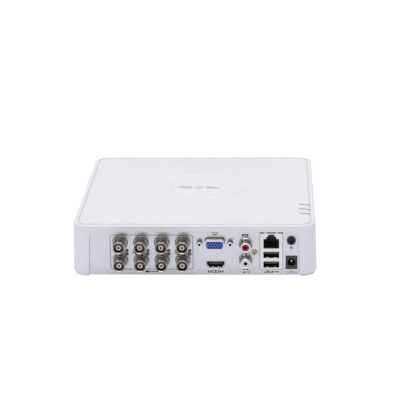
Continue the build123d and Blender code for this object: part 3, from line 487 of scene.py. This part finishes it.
def middle_x(node):
    """The middle of a node's width, in millimetres."""
    low, high = box_mm(node)
    return (low.x + high.x) / 2


def piece(name, mesh, look, body):
    """Puts a mesh in the scene as a named piece that rides on a CAD body."""
    obj = bpy.data.objects.new(name, mesh)
    bpy.context.scene.collection.objects.link(obj)
    obj.data.materials.clear()
    obj.data.materials.append(look)
    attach(obj, body)


def rectangle(x, z, width, height):
    """The outline of an upright rectangle round a middle point."""
    w, h = width / 2, height / 2
    return [(x - w, z - h), (x + w, z - h), (x + w, z + h), (x - w, z + h)]


def round_rectangle(x, z, width, height, radius, steps=6):
    """The same with rounded corners, each in a number of steps."""
    points = []
    for turn, sx, sz in ((0, 1, 1), (90, -1, 1), (180, -1, -1), (270, 1, -1)):
        centre = (x + sx * (width / 2 - radius), z + sz * (height / 2 - radius))
        for i in range(steps + 1):
            angle = math.radians(turn + 90 * i / steps)
            points.append((centre[0] + radius * math.cos(angle), centre[1] + radius * math.sin(angle)))
    return points


def circle(x, z, radius, steps=28):
    turns = [2 * math.pi * i / steps for i in range(steps)]
    return [(x + radius * math.cos(t), z + radius * math.sin(t)) for t in turns]


def joined_rings(mesh, a, b):
    """Fills the strip between two closed rings of equally many corners."""
    for i in range(len(a)):
        j = (i + 1) % len(a)
        mesh.faces.new((a[i], a[j], b[j], b[i]))


def finished(mesh, name):
    """Turns mesh code into a mesh."""
    made = bpy.data.meshes.new(name)
    mesh.to_mesh(made)
    mesh.free()
    return made


def printed(name, look, filled=(), rings=(), lift=1.0):
    """A flat print, so many lifts off the panel: filled outlines, and rings.

    A ring is an outer and an inner outline with equally many points."""
    mesh = bmesh.new()
    y = panel_face - PRINT_LIFT * lift

    def corner(point):
        return mesh.verts.new((point[0] * MM, y, point[1] * MM))

    for outline in filled:
        mesh.faces.new([corner(p) for p in outline])
    for outer, inner in rings:
        outer_corners = [corner(p) for p in outer]
        inner_corners = [corner(p) for p in inner]
        joined_rings(mesh, outer_corners, inner_corners)
    bmesh.ops.recalc_face_normals(mesh, faces=mesh.faces)
    for face in mesh.faces:
        if face.normal.y > 0:
            face.normal_flip()
    grown = bmesh.ops.extrude_face_region(mesh, geom=mesh.faces[:])
    moved = [v for v in grown["geom"] if isinstance(v, bmesh.types.BMVert)]
    bmesh.ops.translate(mesh, verts=moved, vec=(0, -PRINT_LIFT / 2, 0))
    piece(name, finished(mesh, name), look, "recorder")


def frame_ring(x, z, width, height, radius, line):
    """A rounded outline drawn with a line of the given width."""
    smallest_radius = 0.02
    inner = max(radius - line, smallest_radius)
    return (
        round_rectangle(x, z, width, height, radius),
        round_rectangle(x, z, width - 2 * line, height - 2 * line, inner),
    )


def arrow(x, z, length, height, direction=1):
    """A shaft and a head that points along x."""
    head = height * 0.8
    shaft_height = height * 0.36
    tip = x + direction * length / 2
    tail = x - direction * length / 2
    shaft_end = tip - direction * head
    shaft = rectangle((tail + shaft_end) / 2, z, abs(length - head), shaft_height)
    return [shaft, [(shaft_end, z - height / 2), (tip, z), (shaft_end, z + height / 2)]]


def print_camera_group():
    """The outline round the eight camera sockets, with a camera sign and an arrow under it."""
    left_margin, right_margin, lower_margin, upper_margin = 2.0, 2.1, 1.5, 0.5
    sign_drop = 1.8
    low, high = box_mm("bnc_shells")
    left, right = low.x - left_margin, high.x + right_margin
    bottom, top = low.z - lower_margin, high.z + upper_margin
    x, z = (left + right) / 2, (bottom + top) / 2
    ring = frame_ring(x, z, right - left, top - bottom, radius=2.2, line=0.55)
    printed("print_camera_outline", print_grey, rings=[ring])
    sign_z = bottom - sign_drop
    camera = round_rectangle(x - 3.9, sign_z, width=3.0, height=1.8, radius=0.4)
    lens_tip, lens_mouth, lens_half = x - 2.3, x - 1.0, 0.85
    lens = [(lens_tip, sign_z), (lens_mouth, sign_z - lens_half), (lens_mouth, sign_z + lens_half)]
    inward = arrow(x + 2.5, sign_z, length=5.2, height=1.8)
    printed("print_camera_sign", print_dark, filled=[camera, lens] + inward)


def print_digit(number, x, z, size):
    """A number as a flat piece over its disc."""
    curve = bpy.data.curves.new(f"digit_{number}", "FONT")
    curve.body = str(number)
    curve.size = size * MM
    curve.align_x = "CENTER"
    curve.align_y = "CENTER"
    text = bpy.data.objects.new(f"digit_text_{number}", curve)
    bpy.context.scene.collection.objects.link(text)
    bpy.context.view_layer.update()
    flat = bpy.data.meshes.new_from_object(text)
    bpy.data.objects.remove(text)
    upright = Matrix.Rotation(math.radians(90), 4, "X")
    place = Matrix.Translation((x * MM, panel_face - PRINT_LIFT * INVERSE_LIFT, z * MM))
    flat.transform(place @ upright)
    piece(f"print_number_{number}", flat, print_light, "recorder")


def print_channel_numbers():
    """Black discs with the numbers 1 to 8, two beside each column of camera sockets."""
    columns = 4
    flange_radius = 6.3
    right_of_column = 5.5
    disc_radius, digit_size = 1.4, 2.1
    upper_rise, lower_drop = 0.95, 1.95  # from halfway between the two rows of sockets
    low, high = box_mm("bnc_shells")
    span = high.x - low.x - 2 * flange_radius
    middle_z = (low.z + high.z) / 2
    discs = []
    for column in range(columns):
        x = low.x + flange_radius + span * column / (columns - 1) + right_of_column
        for row, z in enumerate((middle_z + upper_rise, middle_z - lower_drop)):
            discs.append(circle(x, z, disc_radius))
            print_digit(2 * column + row + 1, x, z, digit_size)
    printed("print_number_discs", print_dark, filled=discs)


def print_screen_signs():
    """A small screen over the analogue socket, and a bold one under the digital socket."""
    rise, drop = 3.9, 3.3
    x = middle_x("vga_insert")
    foot_z = box_mm("vga_insert")[1].z + rise
    foot = rectangle(x, foot_z - 0.35, width=2.6, height=0.35)
    stem = rectangle(x, foot_z - 0.05, width=0.7, height=0.4)
    screen = frame_ring(x, foot_z + 1.0, width=4.4, height=1.8, radius=0.3, line=0.42)
    printed("print_screen_sign", print_dark, filled=[foot, stem], rings=[screen])
    x = middle_x("hdmi_shell")
    z = box_mm("hdmi_shell")[0].z - drop
    play_back, play_tip, play_half = x - 0.7, x + 0.9, 0.75
    play = [(play_back, z - play_half), (play_tip, z), (play_back, z + play_half)]
    bar_offsets = (3.8, 5.7)
    bars = [
        rectangle(x + side * offset, z, width=1.2, height=1.9)
        for side in (-1, 1)
        for offset in bar_offsets
    ]
    screen = frame_ring(x, z, width=5.2, height=2.3, radius=0.4, line=0.5)
    printed("print_digital_screen_sign", print_dark, filled=[play] + bars, rings=[screen])


def print_sound_signs():
    """A pill with an arrow over the sound input, and an arrow and a speaker under the output."""
    pill_rise, arrow_drop, speaker_drop = 2.1, 2.35, 4.85
    x = middle_x("rca_barrels")
    low, high = box_mm("rca_barrels")
    pill_x, pill_z = x - 0.4, high.z + pill_rise
    pill = round_rectangle(pill_x, pill_z, width=5.4, height=2.0, radius=0.5)
    printed("print_sound_in_pill", print_dark, filled=[pill])
    inward = arrow(pill_x, pill_z, length=3.4, height=1.2, direction=-1)
    printed("print_sound_in_arrow", print_light, filled=inward, lift=INVERSE_LIFT)
    outward = arrow(x - 0.1, low.z - arrow_drop, length=5.2, height=1.8)
    printed("print_sound_out_arrow", print_dark, filled=outward)
    z = low.z - speaker_drop
    coil = rectangle(x - 2.3, z, width=0.8, height=0.8)
    cone_back, cone_front = x - 1.9, x - 0.7
    throat, mouth = 0.4, 0.9
    cone = [(cone_back, z - throat), (cone_front, z - mouth)]
    cone += [(cone_front, z + mouth), (cone_back, z + throat)]
    wave_count, wave_pitch, wave_growth = 4, 0.95, 0.45
    waves = [
        rectangle(x + 0.3 + wave_pitch * i, z, width=0.42, height=0.7 + wave_growth * i)
        for i in range(wave_count)
    ]
    printed("print_speaker_sign", print_dark, filled=[coil, cone] + waves)


def print_network_sign():
    """Linked boxes and an arrow with a round tail, under the network and USB sockets."""
    drop = 2.4
    x = middle_x("port_shell")
    z = box_mm("port_shell")[0].z - drop
    box_count, box_pitch, box_width, box_height = 3, 2.1, 1.5, 0.75
    first_x, hub_x = x - 4.9, x - 2.8
    boxes = [
        rectangle(first_x + box_pitch * i, z - 0.6, box_width, box_height)
        for i in range(box_count)
    ]
    boxes.append(rectangle(hub_x, z + 0.75, box_width, box_height))
    line = rectangle(hub_x, z + 0.08, width=4.6, height=0.3)
    branch = arrow(x + 3.6, z, length=5.6, height=1.8)
    tail = circle(x + 0.9, z, radius=0.75, steps=16)
    printed("print_network_sign", print_dark, filled=boxes + [line] + branch + [tail])


def print_power_signs():
    """The earth sign under the ground screw, and the direct-current sign under the power socket."""
    earth_drop, direct_drop = 2.3, 2.9
    x = middle_x("ground_screw")
    z = box_mm("ground_screw")[0].z - earth_drop
    stroke, bar_count, bar_pitch, longest_bar, bar_taper = 0.4, 3, 0.65, 3.4, 1.0
    earth = [rectangle(x, z + 0.75, width=stroke, height=1.1)]
    earth += [
        rectangle(x, z - bar_pitch * i, width=longest_bar - bar_taper * i, height=stroke)
        for i in range(bar_count)
    ]
    printed("print_earth_sign", print_dark, filled=earth)
    x = middle_x("dc_jack_body")
    z = box_mm("dc_jack_body")[0].z - direct_drop
    line, bar, dash, dash_pitch = 0.45, 4.0, 1.0, 1.5
    sign_half, end_bar = 3.7, 1.6
    direct = [rectangle(x, z + line, bar, line)]
    direct += [rectangle(x + dash_pitch * i, z - line, dash, line) for i in (-1, 0, 1)]
    direct += [rectangle(x + side * sign_half, z, end_bar, line) for side in (-1, 1)]
    direct.append(rectangle(x + sign_half, z, line, end_bar))
    printed("print_direct_current_sign", print_grey, filled=direct)


print_camera_group()
print_channel_numbers()
print_screen_signs()
print_sound_signs()
print_network_sign()
print_power_signs()


# ---------------------------------------------------------------- drive leads
def smooth_path(points, samples):
    """A smooth curve that passes through every given point (Catmull-Rom), as many short steps."""
    path = [Vector(p) for p in points]
    count = max(2, samples // (len(path) - 1))
    dense = []
    for i in range(len(path) - 1):
        before = path[max(i - 1, 0)]
        after = path[min(i + 2, len(path) - 1)]
        a, b = path[i], path[i + 1]
        for j in range(count):
            t = j / count
            dense.append(0.5 * (
                2 * a + (b - before) * t + (2 * before - 5 * a + 4 * b - after) * t * t
                + (3 * a - before - 3 * b + after) * t ** 3
            ))
    dense.append(path[-1])
    return dense


def swept(name, points, section, look, samples=64):
    """A tube with the given cross-section along a smooth curve through points, in millimetres."""
    dense = smooth_path(points, samples)
    nearly_upright = 0.05
    mesh = bmesh.new()
    rings = []
    for i, point in enumerate(dense):
        ahead = (dense[min(i + 1, len(dense) - 1)] - dense[max(i - 1, 0)]).normalized()
        side = ahead.cross(Vector((0, 0, 1)))
        side = side.normalized() if side.length > nearly_upright else Vector((1, 0, 0))
        over = side.cross(ahead)
        ring = [mesh.verts.new((point + side * u + over * v) * MM) for u, v in section]
        rings.append(ring)
    for a, b in zip(rings, rings[1:]):
        joined_rings(mesh, a, b)
    mesh.faces.new(rings[0][::-1])
    mesh.faces.new(rings[-1])
    bmesh.ops.recalc_face_normals(mesh, faces=mesh.faces)
    for face in mesh.faces:
        face.smooth = True
    piece(name, finished(mesh, name), look, "recorder")


X_AXIS, Y_AXIS, Z_AXIS = range(3)


def moulded_plug(name, low, high, ribs_along, slot):
    """A plug body with rounded edges and a few grip ribs across its back half."""
    rib_count = 4
    first_rib, rib_step, rib_width = 0.45, 0.12, 0.06  # shares of the plug's length
    rib_height = 0.25
    edge_radius = 0.2 * MM
    mesh = bmesh.new()

    def add_block(a, b):
        made = bmesh.ops.create_cube(mesh, size=1.0)["verts"]
        scale = Matrix.Diagonal((*[(q - p) * MM for p, q in zip(a, b)], 1.0))
        centre = Matrix.Translation([(p + q) / 2 * MM for p, q in zip(a, b)])
        bmesh.ops.transform(mesh, matrix=centre @ scale, verts=made)

    add_block(low, high)
    length = high[ribs_along] - low[ribs_along]
    for i in range(rib_count):
        a, b = list(low), list(high)
        a[ribs_along] = low[ribs_along] + length * (first_rib + rib_step * i)
        b[ribs_along] = a[ribs_along] + length * rib_width
        for axis in (X_AXIS, Y_AXIS, Z_AXIS):
            if axis != ribs_along:
                a[axis] -= rib_height
                b[axis] += rib_height
        add_block(a, b)
    bmesh.ops.bevel(
        mesh, geom=mesh.edges[:], offset=edge_radius, segments=2, affect="EDGES", profile=0.5,
    )
    piece(name, finished(mesh, name), looks[slot], "recorder")


lead_red = moulded("lead_red", (0.50, 0.03, 0.03), 0.4, grain=0.2, edge=0.1)
lead_yellow = moulded("lead_yellow", (0.70, 0.48, 0.05), 0.4, grain=0.2, edge=0.1)
lead_black = moulded("lead_black", (0.03, 0.03, 0.03), 0.4, grain=0.2, edge=0.1)


PLUG_GAP = 0.7
PLUG_LENGTH = 9


def drive_end():
    """Where the leads' plugs meet the drive: their front x, and their lowest and highest z."""
    low, high = box_mm("drive_connector")
    margin = 0.6
    return high.x + PLUG_GAP, low.z + margin, high.z - margin


def drive_middle_y():
    """The middle of the drive's connector, from which the two plugs' places are measured."""
    low, high = box_mm("drive_connector")
    return (low.y + high.y) / 2


def data_lead():
    """A flat lead with a plug at each end, from the drive round to its socket on the board."""
    front, low_z, high_z = drive_end()
    level = (low_z + high_z) / 2
    y = drive_middle_y() + 12.5
    half_width = 7
    moulded_plug(
        "data_plug_drive",
        (front, y - half_width, low_z),
        (front + PLUG_LENGTH, y + half_width, high_z),
        X_AXIS, "socket_black",
    )
    socket_low, socket_high = box_mm("drive_data_socket")
    x = (socket_low.x + socket_high.x) / 2
    plug_end = socket_high.y + 14
    board_half_width, board_half_height = 6.8, 2.6
    moulded_plug(
        "data_plug_board",
        (x - board_half_width, socket_high.y + 0.3, level - board_half_height),
        (x + board_half_width, plug_end, level + board_half_height),
        Y_AXIS, "socket_black",
    )
    lane = front + 19.0  # the lead runs along the case's side here
    course = [
        (front + 8.5, y, level),
        (lane - 2.5, y - 5, level),
        (lane, y - 16, level),
        (lane - 1.0, y - 36, level),
        (x + 2, plug_end + 9, level),
        (x, plug_end - 1, level),
    ]
    ribbon = rectangle(0.0, 0.0, width=1.2, height=6.0)
    swept("data_lead", course, ribbon, lead_red)


def power_lead():
    """Four round wires with a plug at each end, from the drive to its socket on the board."""
    front, low_z, high_z = drive_end()
    level = (low_z + high_z) / 2
    y = drive_middle_y() - 7.5
    half_width = 10.5
    moulded_plug(
        "power_plug_drive",
        (front, y - half_width, low_z),
        (front + PLUG_LENGTH, y + half_width, high_z),
        X_AXIS, "socket_black",
    )
    socket_low, socket_high = box_mm("drive_power_socket")
    end_x = (socket_low.x + socket_high.x) / 2
    end_y = (socket_low.y + socket_high.y) / 2
    board_half_width, board_half_depth, plug_height = 6.0, 2.8, 6
    moulded_plug(
        "power_plug_board",
        (end_x - board_half_width, end_y - board_half_depth, socket_high.z + 0.2),
        (end_x + board_half_width, end_y + board_half_depth, socket_high.z + plug_height),
        Z_AXIS, "socket_white",
    )
    wire = circle(0.0, 0.0, radius=0.8, steps=10)
    drive_pitch, board_pitch, bundle_pitch = 3.6, 2.5, 1.75
    middle_wire = 1.5
    for i, look in enumerate((lead_yellow, lead_black, lead_black, lead_red)):
        place = i - middle_wire
        start_y = y + place * drive_pitch
        wire_x = end_x + place * board_pitch
        spread = bundle_pitch * i
        lane = front + 11.0 + spread
        course = [
            (front + 8.0, start_y, level),
            (lane, start_y - 6 - spread, level + 3),
            (lane, 6.0, 19.0),
            (74.0 + spread, -11.0 - spread, 22.5),
            (wire_x + 6, -14.0 - spread, 24.5),
            (wire_x, end_y, 20.0),
            (wire_x, end_y, socket_high.z + 5.5),
        ]
        swept(f"power_wire_{i + 1}", course, wire, look)


data_lead()
power_lead()


# ---------------------------------------------------------------- floor, light and camera
def make_floor():
    """A wide pale floor under the feet, which the camera sees as almost pure white."""
    half = 6.0
    seen_white_share, seen_white_strength = 0.9, 1.15
    mesh = bmesh.new()
    corners = [(-half, -half), (half, -half), (half, half), (-half, half)]
    mesh.faces.new([mesh.verts.new((x, y, cad_low.z)) for x, y in corners])
    made = finished(mesh, "floor")
    floor = bpy.data.objects.new("floor", made)
    bpy.context.scene.collection.objects.link(floor)
    colour = (0.70, 0.70, 0.78)
    look = Look("floor_paper", colour, 0.7)
    look.mottle(shade(colour, 0.995), size=400.0, start=0.3, full=0.7)
    look.set(Emission_Color=(0.97, 0.97, 1.0, 1.0), Emission_Strength=0.29)
    made.materials.append(look.done())
    seen = look.node("ShaderNodeLightPath").outputs["Is Camera Ray"]
    white = look.node("ShaderNodeEmission")
    white.inputs["Strength"].default_value = seen_white_strength
    blend = look.node("ShaderNodeMixShader")
    look.link(look.times(seen, look.number(seen_white_share)), blend.inputs["Fac"])
    look.link(look.shader.outputs[0], blend.inputs[1])
    look.link(white.outputs[0], blend.inputs[2])
    look.link(blend.outputs[0], look.tree.nodes["Material Output"].inputs["Surface"])


def make_sky():
    """Soft studio surroundings: brightest overhead, dimmer and bluer towards the horizon."""
    horizon, overhead = (0.38, 0.37, 0.46, 1.0), (1.0, 0.99, 1.0, 1.0)
    overhead_from = 0.8
    world = bpy.data.worlds.new("studio")
    bpy.context.scene.world = world
    world.use_nodes = True
    tree = world.node_tree
    place = tree.nodes.new("ShaderNodeTexCoord").outputs["Generated"]
    split = tree.nodes.new("ShaderNodeSeparateXYZ")
    ramp = tree.nodes.new("ShaderNodeValToRGB")
    ramp.color_ramp.elements[0].position = 0.0
    ramp.color_ramp.elements[0].color = horizon
    ramp.color_ramp.elements[1].position = overhead_from
    ramp.color_ramp.elements[1].color = overhead
    background = tree.nodes["Background"]
    background.inputs["Strength"].default_value = 0.60
    tree.links.new(place, split.inputs["Vector"])
    tree.links.new(split.outputs["Z"], ramp.inputs["Fac"])
    tree.links.new(ramp.outputs["Color"], background.inputs["Color"])


def add_softbox(name, location, aim, width, height, watts, colour):
    """A rectangular lamp that faces its aim."""
    light = bpy.data.lights.new(name, "AREA")
    light.shape = "RECTANGLE"
    light.size = width
    light.size_y = height
    light.energy = watts
    light.color = colour
    lamp = bpy.data.objects.new(name, light)
    lamp.location = location
    lamp.rotation_mode = "QUATERNION"
    lamp.rotation_quaternion = (Vector(aim) - Vector(location)).to_track_quat("-Z", "Y")
    bpy.context.scene.collection.objects.link(lamp)


def make_lamps():
    """One large lamp overhead, and a weak one in front, to the left of the camera."""
    add_softbox(
        "top_light",
        location=(0.0, 0.15, 1.3),
        aim=(0.0, 0.0, 0.0),
        width=1.6, height=1.6, watts=12.8, colour=(1.0, 0.99, 0.985),
    )
    add_softbox(
        "front_light",
        location=(-0.5, -1.5, 0.75),
        aim=(0.0, 0.0, 0.02),
        width=0.9, height=0.7, watts=2.6, colour=(0.97, 0.975, 1.0),
    )


def make_camera():
    """The photograph's view: low, almost square on, from about 1.4 m with a long lens."""
    azimuth, elevation, roll = (math.radians(v) for v in (2.7, 17.86, -0.84))
    distance = 1.4261
    aim = Vector((0.0, 0.0, 0.022))
    aim_right_of_centre = -0.00071
    aim_above_centre = -0.01111
    forward = Vector((
        -math.sin(azimuth) * math.cos(elevation),
        math.cos(azimuth) * math.cos(elevation),
        -math.sin(elevation),
    ))
    level = forward.cross(Vector((0, 0, 1))).normalized()
    over = level.cross(forward)
    right = level * math.cos(roll) + over * math.sin(roll)
    up = over * math.cos(roll) - level * math.sin(roll)
    data = bpy.data.cameras.new("camera")
    data.sensor_width = 36.0
    data.lens = 147.54
    data.clip_start = 0.05
    data.clip_end = 50.0
    camera = bpy.data.objects.new("camera", data)
    turn = Matrix((right, up, -forward)).transposed().to_4x4()
    location = aim - right * aim_right_of_centre - up * aim_above_centre - forward * distance
    camera.matrix_world = Matrix.Translation(location) @ turn
    bpy.context.scene.collection.objects.link(camera)
    bpy.context.scene.camera = camera


make_floor()
make_sky()
make_lamps()
make_camera()
bpy.context.scene.view_settings.view_transform = "Standard"
